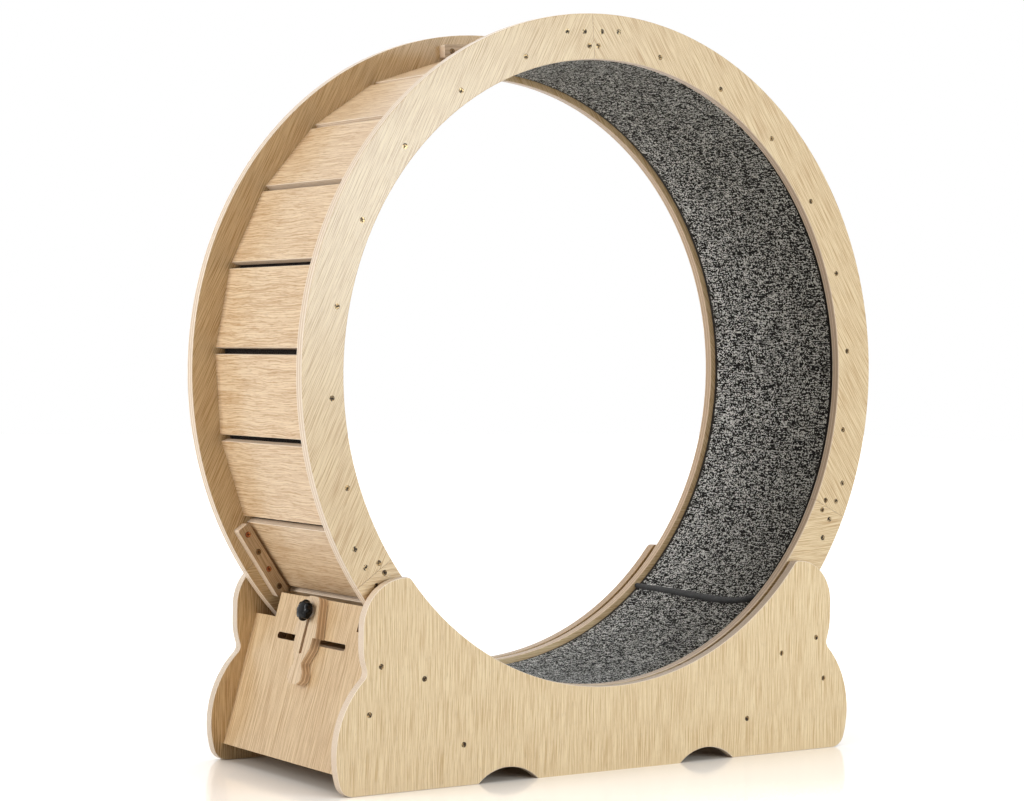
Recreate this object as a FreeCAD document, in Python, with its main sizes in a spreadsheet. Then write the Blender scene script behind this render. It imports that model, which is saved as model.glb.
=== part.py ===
import FreeCAD, Part
import Sketcher
import math
import os
import re

from FreeCAD import Placement, Rotation, Vector

# A plywood exercise wheel for a cat.  Two flat rings, each spliced from three
# segments, are held apart by slats that make the drum.  A carpet runner lines
# the slats.  The drum rolls on four grooved rollers in a base of two shaped
# side panels, two end panels and two inner boards, and a sliding lock with a
# star knob on the left end panel holds the drum still.
#
# The frame: millimetres, Z up, X to the right as seen from the front, Y to the
# back.  The origin is on the floor, below the middle of the drum.

DIMENSIONS = {
    # the drum
    "ring_outer_radius": 550,
    "ring_width": 70,
    "ring_thickness": 15,
    "ring_edge_round": 1.5,
    "segment_gap": 0.5,
    "drum_width": 340,
    "floor_clearance": 60,
    "wheel_turn": 5,
    # the slats that join the two rings
    "slat_inset": 43.5,
    "slat_gap": 7.2,
    "slat_thickness": 12,
    "slat_edge_round": 1.2,
    # the plates that join the ring segments
    "splice_gap": 4.5,
    "splice_width": 22,
    "splice_length": 128,
    "splice_thickness": 15,
    "splice_corner_round": 4,
    "splice_screw_spacing": 33,
    # the carpet runner
    "runner_thickness": 5.5,
    "runner_gap": 0.3,
    "runner_seam_gap": 1,
    "runner_seam_angle": 310.2,
    "binding_width": 13,
    "binding_raise": 1.2,
    # screws and their holes
    "screw_head_diameter": 8.5,
    "screw_head_depth": 2.6,
    "screw_shank_diameter": 4,
    "screw_tip_length": 4,
    "screw_sink": 0.2,
    "screw_fit": 0.1,
    "recess_span": 4.4,
    "recess_slot": 1.2,
    "recess_depth": 1.6,
    "slat_screw_length": 45,
    "slat_screw_offset": 8.7,
    "splice_screw_length": 23,
    "sleeve_nut_diameter": 6,
    "sleeve_nut_head": 9.5,
    "sleeve_nut_head_thickness": 1.2,
    "sleeve_nut_length": 12,
    "panel_screw_length": 42,
    # the side panels
    "panel_thickness": 15,
    "panel_gap": 7,
    "bulge_radius": 144.5,
    "bulge_inset": 32.5,
    "bulge_height": 61,
    "foot_corner_round": 25,
    "flank_radius": 100,
    "waist_round": 15,
    "ear_radius": 70,
    "ear_flat": 7.8,
    "ear_height": 240,
    "ear_straight": 25,
    "ear_tip_round": 10,
    "arch_radius": 80,
    "arch_across": 193,
    "arch_rise": 21,
    "panel_edge_round": 1.5,
    # the end panels, that lean in at the top
    "end_lean": 15.2,
    "end_outset": 39,
    "end_below_ear": 56.5,
    "end_screw_spacing": 70.5,
    "tongue_rise": 80,
    "tongue_width": 235,
    "shoulder_rise": 42,
    "end_drop": 165,
    "vent_rise": 15.5,
    "vent_width": 196,
    "vent_height": 10,
    "slot_end_flat": 0.2,
    # the inner boards, that lean out at the top
    "board_lean": 35.3,
    "board_gap": 4.3,
    "board_rise": 77.7,
    "board_screw_spacing": 123.7,
    "board_top": 20,
    "board_bottom": 25,
    # the rollers and what carries them
    "roller_angle": 29.2,
    "roller_groove_radius": 15,
    "roller_flange_height": 5,
    "roller_flange_thickness": 3,
    "roller_recess_radius": 9.5,
    "roller_side_gap": 1,
    "roller_hub_gap": 0.3,
    "rolling_gap": 0.3,
    "bearing_width": 7,
    "race_radius": 6.1,
    "shaft_diameter": 8,
    "shaft_seat": 8,
    "shaft_fit": 0.05,
    "spacer_diameter": 11,
    # the lock on the left end panel
    "lock_depth": -3,
    "lock_gap": 0.3,
    "slider_thickness": 15,
    "slider_top": 81.3,
    "slider_top_width": 36,
    "slider_shoulder_width": 66,
    "slider_shoulder_rise": 20,
    "slider_step_width": 50,
    "slider_waist_rise": 3,
    "slider_waist_width": 47,
    "slider_neck_rise": -20.5,
    "slider_neck_width": 19,
    "slider_grip_rise": -33,
    "slider_grip_width": 39,
    "slider_grip_low": -45,
    "slider_bottom_width": 22,
    "slider_bottom": -52,
    "slider_top_round": 12,
    "slider_round": 6,
    "slot_width": 7,
    "slot_bottom": -3,
    "stud_rise": 57.5,
    "stud_diameter": 6,
    "stud_fit": 0.05,
    "stud_end": 3,
    "washer_diameter": 18,
    "washer_thickness": 1.6,
    "washer_gap": 0.1,
    "knob_diameter": 32,
    "knob_lobe_radius": 4.5,
    "knob_core_diameter": 25,
    "knob_hub_diameter": 18,
    "knob_hub_height": 4,
    "knob_head_height": 12,
    "knob_dome_radius": 30,
    "tee_nut_flange_diameter": 17,
    "tee_nut_flange_thickness": 1.5,
    "tee_nut_barrel_diameter": 8,
    "tee_nut_barrel_length": 9,
}

RING_SEGMENTS = 3
SLATS = 24
KNOB_LOBES = 8
FULL_TURN = 360
SEGMENT_ANGLE = FULL_TURN / RING_SEGMENTS
SLAT_ANGLE = FULL_TURN / SLATS

# Sizes and places that follow from those above.
FOLLOWING = {
    "axle_height": "ring_outer_radius + floor_clearance",
    "ring_inner_radius": "ring_outer_radius - ring_width",
    "ring_middle": "drum_width / 2 - ring_thickness / 2",
    "slat_face_radius": "ring_outer_radius - slat_inset",
    "slat_back_radius": "slat_face_radius - slat_thickness",
    "slat_screw_radius": "slat_face_radius - slat_thickness / 2",
    "slat_length": "drum_width - 2 * ring_thickness",
    "slat_width": f"2 * slat_back_radius * tan({SLAT_ANGLE / 2}) - slat_gap",
    "splice_inner_radius": "slat_face_radius + splice_gap",
    "runner_outer_radius": "slat_back_radius - runner_gap",
    "runner_inner_radius": "runner_outer_radius - runner_thickness",
    "runner_width": "slat_length - 2 * runner_gap",
    "half_inside": "drum_width / 2 + panel_gap",
    "ear_top": "ear_height + ear_radius",
    "ear_tip_across": "sqrt(ring_inner_radius^2 - (axle_height - ear_top)^2)",
    "ear_across": "ear_tip_across + ear_flat",
    "bulge_across": "ear_across - bulge_inset",
    "end_across": "ear_across + end_outset",
    "end_height": "ear_height - end_below_ear",
    "roller_reach": "ring_outer_radius + rolling_gap + roller_groove_radius",
    "roller_across": "roller_reach * sin(roller_angle)",
    "roller_height": "axle_height - roller_reach * cos(roller_angle)",
    "roller_flange_radius": "roller_groove_radius + roller_flange_height",
    "board_outset": "roller_flange_radius + board_gap + panel_thickness / 2",
    "board_across": "roller_across + board_rise * sin(board_lean) + board_outset * cos(board_lean)",
    "board_height": "roller_height + board_rise * cos(board_lean) - board_outset * sin(board_lean)",
    "slider_inside": "panel_thickness / 2 + lock_gap",
    "slider_outside": "slider_inside + slider_thickness",
    "washer_inside": "slider_outside + washer_gap",
    "knob_base": "washer_inside + washer_thickness + washer_gap",
    "stud_seat": "knob_hub_height + knob_head_height / 2",
}

TOP = 90
SPLICE_SCREW_STEPS = (-1.5, -0.5, 0.5, 1.5)

# Each side's and each hand's direction along Y and X.
SIDES = {"front": -1, "rear": 1}
HANDS = {"left": -1, "right": 1}

UP = Vector(0, 0, 1)
RIGHT = Vector(1, 0, 0)
BACK = Vector(0, 1, 0)
FRONT = Vector(0, -1, 0)

# How far from a named point an edge may lie and still be the one that is meant.
EDGE_REACH = 2
# How much two lengths that count as the same may differ.
SAME_LENGTH = 0.001
# How far a cutting tool stands out of the face that it enters.
TOOL_STANDOUT = 1

document = FreeCAD.newDocument("cat_exercise_wheel")
sheet = document.addObject("Spreadsheet::Sheet", "sizes")
for row, (alias, number) in enumerate(DIMENSIONS.items(), start=1):
    sheet.set(f"A{row}", alias)
    sheet.set(f"B{row}", str(number))
    sheet.setAlias(f"B{row}", alias)
for row, (alias, formula) in enumerate(FOLLOWING.items(), start=len(DIMENSIONS) + 1):
    sheet.set(f"A{row}", alias)
    sheet.set(f"B{row}", f"={formula}")
    sheet.setAlias(f"B{row}", alias)
document.recompute()

nodes = []


def size(alias):
    """The number in the sheet under this name."""
    return float(sheet.get(alias))


def bind(feature, target, formula):
    """Ties a property or a constraint to a formula of the sheet's names."""
    named = {**DIMENSIONS, **FOLLOWING}
    tied = re.sub(r"[a-z_]+", lambda word: "sizes." + word.group() if word.group() in named
                  else word.group(), formula)
    feature.setExpression(target, tied)


def keep(label, feature):
    """Names a finished sub-part, which is written to a file of its own."""
    feature.Label = label
    nodes.append(feature)


def place(feature, x, y, z):
    """Ties a feature's place to three formulas."""
    bind(feature, "Placement.Base.x", x)
    bind(feature, "Placement.Base.y", y)
    bind(feature, "Placement.Base.z", z)


def turn(feature, axis, angle):
    """Ties a feature's turn about an axis to a formula in degrees."""
    feature.Placement = Placement(Vector(), Rotation(axis, 1))
    bind(feature, "Placement.Rotation.Angle", angle)


def place_on_drum(feature, angle, depth):
    """Turns a piece, made on the X axis, about the drum's axle."""
    turn(feature, FRONT, angle)
    place(feature, "0", depth, "axle_height")


# ---------------------------------------------------------------- sketching

def new_body(name):
    return document.addObject("PartDesign::Body", name)


def new_sketch(body, plane, name):
    sketch = body.newObject("Sketcher::SketchObject", name)
    for feature in body.Origin.OriginFeatures:
        if feature.Role == plane:
            sketch.AttachmentSupport = (feature, [""])
    sketch.MapMode = "FlatFace"
    return sketch


def hold(sketch, kind, *where, now, formula):
    """Adds a dimension at its present value and ties it to a formula."""
    index = sketch.addConstraint(Sketcher.Constraint(kind, *where, now))
    bind(sketch, f"Constraints[{index}]", formula)


def locate(sketch, geometry, point, x, y):
    """Holds a point of the sketch at two formulas, measured from its origin."""
    now = sketch.getPoint(geometry, point)
    hold(sketch, "DistanceX", -1, 1, geometry, point, now=now.x, formula=x)
    hold(sketch, "DistanceY", -1, 1, geometry, point, now=now.y, formula=y)


def polygon(body, plane, name, corners):
    """A closed outline of straight lines, whose corners are pairs of formulas."""
    sketch = new_sketch(body, plane, name)
    count = len(corners)
    starts = []
    for index in range(count):
        angle = 2 * math.pi * index / count
        starts.append(Vector(math.cos(angle), math.sin(angle), 0))
    for index in range(count):
        sketch.addGeometry(Part.LineSegment(starts[index], starts[(index + 1) % count]), False)
    for index in range(count):
        following = (index + 1) % count
        sketch.addConstraint(Sketcher.Constraint("Coincident", index, 2, following, 1))
    for index, (x, y) in enumerate(corners):
        locate(sketch, index, 1, x, y)
    return sketch


def circle(body, plane, name, x, y, radius):
    sketch = new_sketch(body, plane, name)
    sketch.addGeometry(Part.Circle(Vector(0, 0, 0), UP, 1), False)
    locate(sketch, 0, 3, x, y)
    hold(sketch, "Radius", 0, now=1.0, formula=radius)
    return sketch


def pad(body, sketch, name, length, midplane=False):
    feature = body.newObject("PartDesign::Pad", name)
    feature.Profile = sketch
    feature.Midplane = midplane
    bind(feature, "Length", length)


def pocket_through(body, sketch, name):
    feature = body.newObject("PartDesign::Pocket", name)
    feature.Profile = sketch
    feature.Type = "ThroughAll"
    feature.Midplane = True


def revolve(body, sketch, name, angle):
    """Turns a profile in the XY plane about Y, anticlockwise from the front."""
    feature = body.newObject("PartDesign::Revolution", name)
    feature.Profile = sketch
    feature.ReferenceAxis = (sketch, ["V_Axis"])
    feature.Reversed = True
    bind(feature, "Angle", angle)


def round_edges(body, name, radius, wanted):
    """Rounds those edges of the body's last feature that the test picks."""
    document.recompute()
    last = body.Tip
    picked = [f"Edge{index}" for index, edge in enumerate(last.Shape.Edges, start=1) if wanted(edge)]
    feature = body.newObject("PartDesign::Fillet", name)
    feature.Base = (last, picked)
    bind(feature, "Radius", radius)


def runs_along(axis):
    """A test for straight edges that run along one axis of the body."""
    def wanted(edge):
        ends = edge.Vertexes[-1].Point - edge.Vertexes[0].Point
        return ends.Length > 0 and abs(abs(ends.dot(axis)) - edge.Length) < SAME_LENGTH
    return wanted


def passes(axis, point):
    """A test for a straight edge along an axis that passes through a point."""
    along = runs_along(axis)

    def wanted(edge):
        aside = edge.CenterOfMass - point
        return along(edge) and (aside - axis * aside.dot(axis)).Length < EDGE_REACH
    return wanted


def any_of(tests):
    return lambda edge: any(test(edge) for test in tests)


# ---------------------------------------------------------------- fasteners

def screw(tip_to, length, clearance=0.0):
    """A countersunk screw with its head at the origin, pointing along tip_to."""
    head = size("screw_head_diameter") / 2 + clearance
    shank = size("screw_shank_diameter") / 2 + clearance
    sink = size("screw_sink")
    neck = sink + size("screw_head_depth")
    top = -TOOL_STANDOUT if clearance else sink
    end = length + clearance
    profile = [Vector(0, 0, top), Vector(head, 0, top), Vector(head, 0, sink), Vector(shank, 0, neck),
               Vector(shank, 0, end - size("screw_tip_length")), Vector(0, 0, end), Vector(0, 0, top)]
    if not clearance:
        profile.pop(2)
    solid = Part.Face(Part.makePolygon(profile)).revolve(Vector(), UP, FULL_TURN)
    if not clearance:
        solid = solid.cut(cross_recess(sink))
    solid.Placement = Placement(Vector(), Rotation(UP, tip_to))
    return solid


def cross_recess(top):
    span = size("recess_span")
    slot = size("recess_slot")
    depth = size("recess_depth")
    one = Part.makeBox(span, slot, 2 * depth, Vector(-span / 2, -slot / 2, top - depth))
    other = Part.makeBox(slot, span, 2 * depth, Vector(-slot / 2, -span / 2, top - depth))
    return one.fuse(other)


def moved(shape, place_at):
    copy = shape.copy()
    copy.translate(place_at)
    return copy


def keep_set(label, pieces):
    """Like fasteners that share one node, each a solid of its own."""
    feature = document.addObject("Part::Feature", label + "_set")
    feature.Shape = Part.makeCompound(pieces)
    keep(label, feature)


def cut_holes(label, body, tools):
    """The body less its holes, kept as one sub-part."""
    holes = document.addObject("Part::Feature", label + "_holes")
    holes.Shape = Part.makeCompound(tools)
    result = document.addObject("Part::Cut", label + "_cut")
    result.Base = body
    result.Tool = holes
    keep(label, result)


def on_drum(radius, angle, depth):
    """The point at this radius and angle of the drum, seen from the front."""
    turned = math.radians(angle)
    return Vector(radius * math.cos(turned), depth, size("axle_height") + radius * math.sin(turned))


def joint_angle(index):
    return size("wheel_turn") + TOP + SEGMENT_ANGLE * index


def slat_centre(index):
    return size("wheel_turn") + TOP + SLAT_ANGLE * index


def slat_screw_angles(index):
    """One screw in each slat end, but two where the ring's joint crosses it."""
    if (SLAT_ANGLE * index) % SEGMENT_ANGLE:
        return [slat_centre(index)]
    apart = math.degrees(size("slat_screw_offset") / size("slat_screw_radius"))
    return [slat_centre(index) - apart, slat_centre(index) + apart]


def splice_screw_places(index, depth):
    """The four screws in a row through a splice plate."""
    radius = size("splice_inner_radius") + size("splice_width") / 2
    places = []
    for step in SPLICE_SCREW_STEPS:
        offset = step * size("splice_screw_spacing")
        angle = joint_angle(index) + math.degrees(math.atan2(offset, radius))
        places.append(on_drum(math.hypot(radius, offset), angle, depth))
    return places


def ring_face(side):
    """How deep the outer face of a ring lies."""
    return SIDES[side] * size("drum_width") / 2


def inward(side):
    return BACK if side == "front" else FRONT


# ---------------------------------------------------------------- the drum

def ring_segment(side, index):
    """A third of a ring, sawn from sheet, with its screw holes."""
    body = new_body(f"{side}_segment_body_{index + 1}")
    profile = polygon(body, "XY_Plane", body.Name + "_profile", [
        ("ring_inner_radius", "0"),
        ("ring_outer_radius", "0"),
        ("ring_outer_radius", "ring_thickness"),
        ("ring_inner_radius", "ring_thickness")])
    gap = "segment_gap / ring_outer_radius * 180 / pi"
    revolve(body, profile, body.Name + "_sweep", f"{SEGMENT_ANGLE} - {gap}")
    round_edges(body, body.Name + "_edges", "ring_edge_round",
                lambda edge: isinstance(edge.Curve, Part.Circle))
    depth = "-drum_width / 2" if side == "front" else "drum_width / 2 - ring_thickness"
    place_on_drum(body, f"wheel_turn + {TOP} + {SEGMENT_ANGLE * index} + {gap} / 2", depth)
    low = joint_angle(index)
    high = low + SEGMENT_ANGLE
    slat_tool = screw(inward(side), size("slat_screw_length"), size("screw_fit"))
    splice_tool = screw(inward(side), size("splice_screw_length"), size("screw_fit"))
    tools = []
    for slat in range(SLATS):
        for angle in slat_screw_angles(slat):
            if low < angle < high or low < angle + FULL_TURN < high:
                tools.append(moved(slat_tool, on_drum(size("slat_screw_radius"), angle, ring_face(side))))
    for joint, half in ((index, 1), (index + 1, -1)):
        row = splice_screw_places(joint, ring_face(side))
        wanted = row[2:] if half == 1 else row[:2]
        tools += [moved(splice_tool, point) for point in wanted]
    cut_holes(f"{side}_ring_segment_{index + 1}", body, tools)


def splice_plate(side, index):
    """A short strip screwed across a joint, on the ring's inner face."""
    body = new_body(f"{side}_splice_body_{index + 1}")
    profile = polygon(body, "XY_Plane", body.Name + "_profile", [
        ("splice_inner_radius", "0"),
        ("splice_inner_radius + splice_width", "0"),
        ("splice_inner_radius + splice_width", "splice_thickness"),
        ("splice_inner_radius", "splice_thickness")])
    pad(body, profile, body.Name + "_pad", "splice_length", midplane=True)
    round_edges(body, body.Name + "_corners", "splice_corner_round", runs_along(BACK))
    depth = "-drum_width / 2 + ring_thickness"
    if side == "rear":
        depth = "drum_width / 2 - ring_thickness - splice_thickness"
    place_on_drum(body, f"wheel_turn + {TOP} + {SEGMENT_ANGLE * index}", depth)
    tool = sleeve_nut(inward(side), size("screw_fit"))
    tools = [moved(tool, point) for point in splice_screw_places(index, ring_face(side))]
    cut_holes(f"{side}_splice_plate_{index + 1}", body, tools)


def sleeve_nut(inside, clearance=0.0):
    """The nut of a splice screw: its sleeve lies in the plate, its low head on it."""
    sleeve = size("sleeve_nut_diameter") / 2
    seat = size("ring_thickness") + size("splice_thickness")
    top = seat + size("sleeve_nut_head_thickness")
    low = seat - size("sleeve_nut_length")
    if clearance:
        solid = Part.makeCylinder(sleeve + clearance, top, Vector(0, 0, 0), UP)
    else:
        solid = Part.makeCylinder(sleeve, top - low, Vector(0, 0, low), UP)
        head = size("sleeve_nut_head") / 2
        crown = Part.makeCone(head, head - size("sleeve_nut_head_thickness") / 2,
                              size("sleeve_nut_head_thickness"), Vector(0, 0, seat), UP)
        bore = Part.makeCylinder(size("screw_shank_diameter") / 2 + size("screw_fit"),
                                 size("splice_screw_length") + size("screw_fit") - low,
                                 Vector(0, 0, low), UP)
        solid = solid.fuse(crown).removeSplitter().cut(bore)
        solid = solid.cut(cross_recess(top))
    solid.Placement = Placement(Vector(), Rotation(UP, inside))
    return solid


def slat(index):
    """One board of the drum, with a pilot hole in each end."""
    body = new_body(f"slat_body_{index + 1}")
    profile = polygon(body, "XY_Plane", body.Name + "_profile", [
        ("slat_back_radius", "0"),
        ("slat_face_radius", "0"),
        ("slat_face_radius", "slat_length"),
        ("slat_back_radius", "slat_length")])
    pad(body, profile, body.Name + "_pad", "slat_width", midplane=True)
    round_edges(body, body.Name + "_edges", "slat_edge_round", runs_along(BACK))
    place_on_drum(body, f"wheel_turn + {TOP} + {SLAT_ANGLE * index}", "-drum_width / 2 + ring_thickness")
    tools = []
    for side in SIDES:
        tool = screw(inward(side), size("slat_screw_length"), size("screw_fit"))
        for angle in slat_screw_angles(index):
            tools.append(moved(tool, on_drum(size("slat_screw_radius"), angle, ring_face(side))))
    cut_holes(f"slat_{index + 1:02d}", body, tools)


def carpet_runner():
    """A strip of carpet round the inside, its two taped ends meeting at a seam."""
    body = new_body("runner_body")
    profile = polygon(body, "XY_Plane", "runner_profile", [
        ("runner_inner_radius", "0"),
        ("runner_outer_radius", "0"),
        ("runner_outer_radius", "runner_width"),
        ("runner_inner_radius", "runner_width")])
    seam = "runner_seam_gap / runner_inner_radius * 180 / pi"
    revolve(body, profile, "runner_sweep", f"{FULL_TURN} - {seam}")
    raised = "runner_inner_radius - binding_raise"
    tape = polygon(body, "XY_Plane", "binding_profile", [
        (raised, "0"),
        ("runner_outer_radius", "0"),
        ("runner_outer_radius", "runner_width"),
        (raised, "runner_width")])
    revolve(body, tape, "binding_sweep", "binding_width / runner_inner_radius * 180 / pi")
    place_on_drum(body, f"runner_seam_angle + {seam} / 2", "-drum_width / 2 + ring_thickness + runner_gap")
    keep("carpet_runner", body)


def drum_fasteners():
    slat_screws = []
    splice_screws = []
    sleeve_nuts = []
    for side in SIDES:
        long_screw = screw(inward(side), size("slat_screw_length"))
        short_screw = screw(inward(side), size("splice_screw_length"))
        nut = sleeve_nut(inward(side))
        for index in range(SLATS):
            for angle in slat_screw_angles(index):
                place_in_slat = on_drum(size("slat_screw_radius"), angle, ring_face(side))
                slat_screws.append(moved(long_screw, place_in_slat))
        for index in range(RING_SEGMENTS):
            for point in splice_screw_places(index, ring_face(side)):
                splice_screws.append(moved(short_screw, point))
                sleeve_nuts.append(moved(nut, point))
    keep_set("slat_screws", slat_screws)
    keep_set("splice_screws", splice_screws)
    keep_set("splice_sleeve_nuts", sleeve_nuts)


for side in SIDES:
    for index in range(RING_SEGMENTS):
        ring_segment(side, index)
        splice_plate(side, index)
for index in range(SLATS):
    slat(index)
carpet_runner()
drum_fasteners()

# ---------------------------------------------------------------- the base


def signed(hand, formula):
    """The formula, negative on the left hand."""
    return f"-({formula})" if hand == "left" else formula


def circles_meet(first, first_radius, second, second_radius):
    """Where two circles cross, on the side away from the drum's middle plane."""
    apart = second - first
    along = (first_radius ** 2 - second_radius ** 2 + apart.Length ** 2) / (2 * apart.Length)
    across = math.sqrt(first_radius ** 2 - along ** 2)
    step = apart.normalize()
    middle = first + step * along
    sideways = Vector(step.z, 0, -step.x)
    meetings = [middle + sideways * across, middle - sideways * across]
    return max(meetings, key=lambda point: point.x)


def arc(sketch, centre, radius, start, end):
    """An arc between two points, anticlockwise, whose circle is held by formulas."""
    angles = [math.atan2(point.z - centre.z, point.x - centre.x) for point in (start, end)]
    shape = Part.ArcOfCircle(Part.Circle(Vector(centre.x, centre.z, 0), UP, radius), *angles)
    sketch.addGeometry(shape, False)


def side_outline(body):
    """The outline of a side panel: two bulging feet, waists and round ears."""
    sketch = new_sketch(body, "XZ_Plane", body.Name + "_outline")
    bulge = Vector(size("bulge_across"), 0, size("bulge_height"))
    bulge_radius = size("bulge_radius")
    outermost = size("ear_across") + size("ear_radius")
    flank_radius = size("flank_radius")
    flank = Vector(outermost - flank_radius, 0, size("ear_height") - size("ear_straight"))
    ear = Vector(size("ear_across"), 0, size("ear_height"))
    ear_radius = size("ear_radius")
    foot = Vector(bulge.x + math.sqrt(bulge_radius ** 2 - bulge.z ** 2), 0, 0)
    waist = circles_meet(bulge, bulge_radius, flank, flank_radius)
    side_low = Vector(outermost, 0, flank.z)
    side_high = Vector(outermost, 0, ear.z)
    top = Vector(ear.x, 0, ear.z + ear_radius)

    def mirrored(point):
        return Vector(-point.x, 0, point.z)

    def line(start, end):
        ends = [Vector(point.x, point.z, 0) for point in (start, end)]
        sketch.addGeometry(Part.LineSegment(*ends), False)

    line(mirrored(foot), foot)
    arc(sketch, bulge, bulge_radius, foot, waist)
    arc(sketch, flank, flank_radius, waist, side_low)
    line(side_low, side_high)
    arc(sketch, ear, ear_radius, side_high, top)
    line(top, mirrored(top))
    arc(sketch, mirrored(ear), ear_radius, mirrored(top), mirrored(side_high))
    line(mirrored(side_high), mirrored(side_low))
    arc(sketch, mirrored(flank), flank_radius, mirrored(side_low), mirrored(waist))
    arc(sketch, mirrored(bulge), bulge_radius, mirrored(waist), mirrored(foot))
    count = sketch.GeometryCount
    for index in range(count):
        sketch.addConstraint(Sketcher.Constraint("Coincident", index, 2, (index + 1) % count, 1))
    flank_across = "ear_across + ear_radius - flank_radius"
    circles = [(1, "bulge_across", "bulge_height", "bulge_radius"),
               (2, flank_across, "ear_height - ear_straight", "flank_radius"),
               (4, "ear_across", "ear_height", "ear_radius"),
               (6, "-ear_across", "ear_height", "ear_radius"),
               (8, f"-({flank_across})", "ear_height - ear_straight", "flank_radius"),
               (9, "-bulge_across", "bulge_height", "bulge_radius")]
    for index, across, height, radius in circles:
        locate(sketch, index, 3, across, height)
        hold(sketch, "Radius", index, now=sketch.Geometry[index].Radius, formula=radius)
    for point in (1, 2):
        sketch.addConstraint(Sketcher.Constraint("PointOnObject", 0, point, -1))
    for index, point in ((3, 1), (7, 2)):
        hold(sketch, "DistanceY", -1, 1, index, point, now=flank.z, formula="ear_height - ear_straight")
    for index, point in ((3, 2), (7, 1)):
        hold(sketch, "DistanceY", -1, 1, index, point, now=ear.z, formula="ear_height")
    hold(sketch, "DistanceX", -1, 1, 5, 1, now=ear.x, formula="ear_across")
    hold(sketch, "DistanceX", -1, 1, 5, 2, now=-ear.x, formula="-ear_across")
    return sketch, foot, waist


def on_both_hands(point):
    return any_of([passes(BACK, Vector(hand * point.x, 0, point.z)) for hand in HANDS.values()])


def side_panel(side):
    """A base side, cut round the drum's opening and arched over the floor."""
    body = new_body(f"{side}_panel_body")
    outline, foot, waist = side_outline(body)
    pad(body, outline, body.Name + "_pad", "panel_thickness")
    opening = circle(body, "XZ_Plane", body.Name + "_opening", "0", "axle_height", "ring_inner_radius")
    pocket_through(body, opening, body.Name + "_opening_cut")
    for hand in HANDS:
        arch = circle(body, "XZ_Plane", f"{body.Name}_{hand}_arch", signed(hand, "arch_across"),
                      "arch_rise - arch_radius", "arch_radius")
        pocket_through(body, arch, f"{body.Name}_{hand}_arch_cut")
    ear_tip = Vector(size("ear_tip_across"), 0, size("ear_top"))
    round_edges(body, body.Name + "_waists", "waist_round", on_both_hands(waist))
    round_edges(body, body.Name + "_feet", "foot_corner_round", on_both_hands(foot))
    round_edges(body, body.Name + "_ears", "ear_tip_round", on_both_hands(ear_tip))
    round_edges(body, body.Name + "_edges", "panel_edge_round", lies_in_face)
    depth = "-half_inside" if side == "front" else "half_inside + panel_thickness"
    place(body, "0", depth, "0")
    tool = screw(inward(side), size("panel_screw_length"), size("screw_fit"))
    tools = [moved(tool, point) for point in panel_screw_places(side)]
    for hand in HANDS:
        centre = roller_centre(hand)
        inside = SIDES[side] * size("half_inside")
        seat = Part.makeCylinder(size("shaft_diameter") / 2 + size("shaft_fit"), size("shaft_seat"),
                                 Vector(centre.x, inside, centre.z), inward(side) * -1)
        tools.append(seat)
    cut_holes(f"{side}_side_panel", body, tools)


def lies_in_face(edge):
    """A test for the edges of the two broad faces, but not for those on the floor."""
    return not runs_along(BACK)(edge) and edge.BoundBox.ZMax > EDGE_REACH


def outer_face(side):
    return SIDES[side] * (size("half_inside") + size("panel_thickness"))


def along_end(rise, hand):
    """A point in the middle of an end panel's edge, this far up its slope."""
    lean = math.radians(size("end_lean"))
    across = size("end_across") - rise * math.sin(lean)
    return Vector(HANDS[hand] * across, 0, size("end_height") + rise * math.cos(lean))


def along_board(drop, hand):
    """A point in the middle of an inner board's edge, this far down its slope."""
    lean = math.radians(size("board_lean"))
    across = size("board_across") - drop * math.sin(lean)
    return Vector(HANDS[hand] * across, 0, size("board_height") - drop * math.cos(lean))


def screws_on(kind, side, hand):
    if kind == "end":
        points = [along_end(0, hand), along_end(-size("end_screw_spacing"), hand)]
    else:
        points = [along_board(0, hand), along_board(size("board_screw_spacing"), hand)]
    return [point + BACK * outer_face(side) for point in points]


def panel_screw_places(side):
    places = []
    for hand in HANDS:
        places += screws_on("end", side, hand) + screws_on("board", side, hand)
    return places


def rectangle_corners(width, height, rise):
    """A test for the four corner edges of a cut through a piece that stands in YZ."""
    corners = []
    for across in (-width / 2, width / 2):
        for up in (rise - height / 2, rise + height / 2):
            corners.append(passes(RIGHT, Vector(0, across, up)))
    return any_of(corners)


def cross_piece_tools(kind, hand):
    tools = []
    for side in SIDES:
        tool = screw(inward(side), size("panel_screw_length"), size("screw_fit"))
        tools += [moved(tool, point) for point in screws_on(kind, side, hand)]
    return tools


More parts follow.
